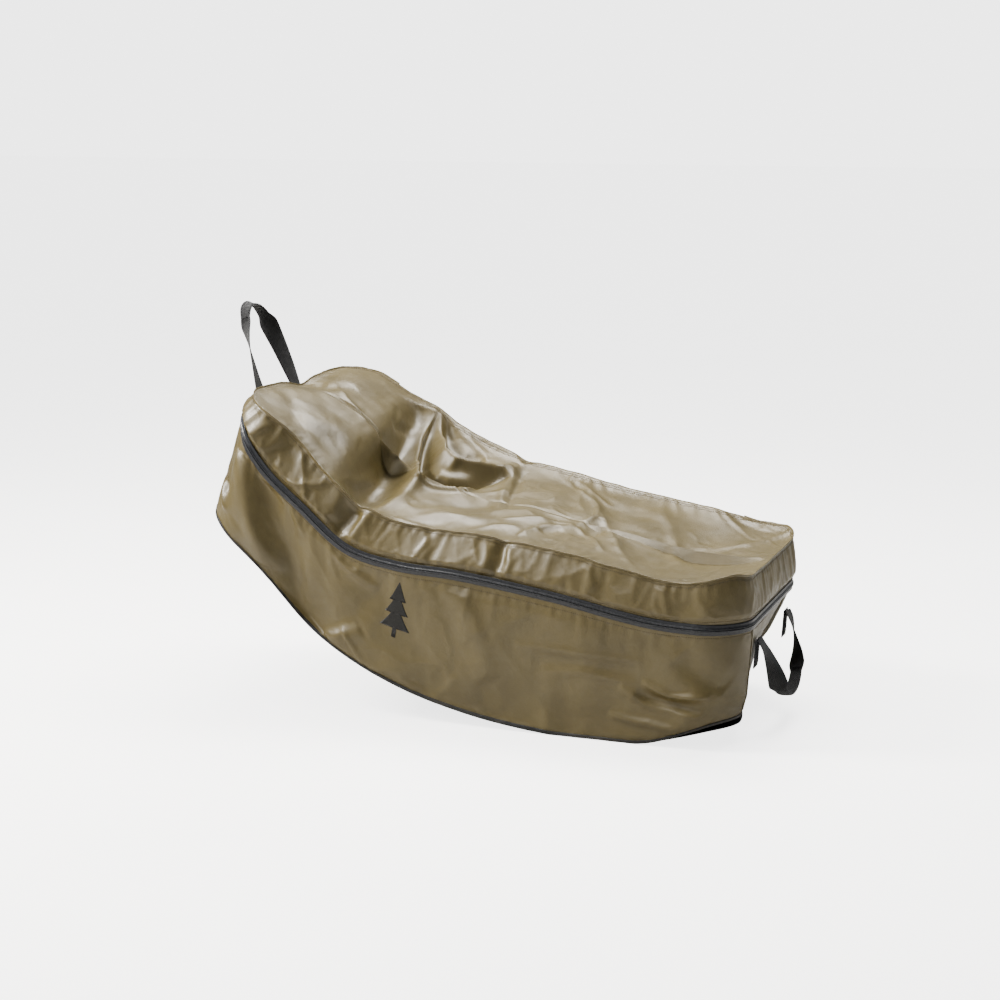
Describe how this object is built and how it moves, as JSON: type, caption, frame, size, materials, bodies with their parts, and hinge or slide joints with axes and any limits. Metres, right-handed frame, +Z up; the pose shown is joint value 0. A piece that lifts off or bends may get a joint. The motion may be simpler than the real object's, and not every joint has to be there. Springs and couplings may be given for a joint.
{
  "type": "waterproof field gear bag",
  "caption": "Long box-shaped waterproof gear bag of olive coated fabric with a U-shaped zip, a hinged lid and webbing carry handles, head end lifted as when dragged.",
  "frame": {"origin": "on the floor under the flat belly of the base, on the bag's centre line", "axes": "+X along the bag towards its tail end that rests on the floor, -X towards the lifted head end, -Y towards the front side that the zip is seen on, +Y towards the side that the lid hinges on, +Z up"},
  "size_m": [1.2473, 0.5618, 0.8251],
  "materials": {
    "coated_fabric": "olive TPU or PVC coated woven fabric, semi-gloss, fine weave showing through, soft wrinkles",
    "seam_tape": "olive welded seam tape, slightly darker and smoother than the panels",
    "base_fabric": "black heavy coated fabric, satin",
    "zip_tape": "black urethane-coated zip tape, semi-gloss",
    "zip_coil": "black nylon coil teeth, satin",
    "zip_metal": "black painted zinc slider, satin",
    "webbing": "black ribbed polyester webbing, matt"
  },
  "bodies": {
    "bag": {"front_wall": "coated_fabric", "back_wall": "coated_fabric", "head_end_wall": "coated_fabric", "tail_end_wall": "coated_fabric", "base_panel_near": "base_fabric", "base_panel_middle": "base_fabric", "base_panel_far": "base_fabric", "base_binding": "base_fabric", "corner_tape_tail_near": "seam_tape", "corner_tape_head_near": "seam_tape", "corner_tape_head_far": "seam_tape", "corner_tape_tail_far": "seam_tape", "lid_hinge_strip": "coated_fabric", "zip_tape_lower": "zip_tape", "zip_coil_lower": "zip_coil", "zip_stop_head": "zip_coil", "zip_stop_tail": "zip_coil", "head_handle_foot_near": "webbing", "head_handle_foot_far": "webbing", "tail_handle_foot_near": "webbing", "tail_handle_foot_far": "webbing"},
    "lid": {"lid_top_panel": "coated_fabric", "lid_front_band": "coated_fabric", "lid_head_band": "coated_fabric", "lid_tail_band": "coated_fabric", "lid_rim_seam": "seam_tape", "zip_tape_upper": "zip_tape", "zip_coil_upper": "zip_coil"},
    "slider": {"zip_slider": "zip_metal"},
    "pull_tab": {"zip_pull_tab": "webbing"},
    "head_strap": {"head_handle": "webbing"},
    "tail_strap": {"tail_handle": "webbing"}
  },
  "joints": [
    {"name": "lid_hinge", "type": "hinge", "parent": "bag", "child": "lid", "pos_m": [0.63552, 0.27, 0.315], "axis": [-0.9577, 0, 0.2878], "range_deg": [0, 110]},
    {"name": "slider_travel", "type": "hinge", "parent": "bag", "child": "slider", "pos_m": [-0.34702, 0.175, 0.58308], "axis": [0.4201, -0.1401, 0.8966], "range_deg": [0, 88]},
    {"name": "pull_tab_swing", "type": "hinge", "parent": "slider", "child": "pull_tab", "pos_m": [-0.3338, 0.28195, 0.59344], "axis": [0.9055, 0, -0.4242], "range_deg": [0, 110]},
    {"name": "head_handle_swing", "type": "hinge", "parent": "bag", "child": "head_strap", "pos_m": [-0.44903, -0.01467, 0.6], "axis": [-0.055, -0.9984, 0.0128], "range_deg": [0, 135]},
    {"name": "tail_handle_swing", "type": "hinge", "parent": "bag", "child": "tail_strap", "pos_m": [0.6433, 0, 0.2027], "axis": [0, -1, 0], "range_deg": [0, 145]}
  ]
}
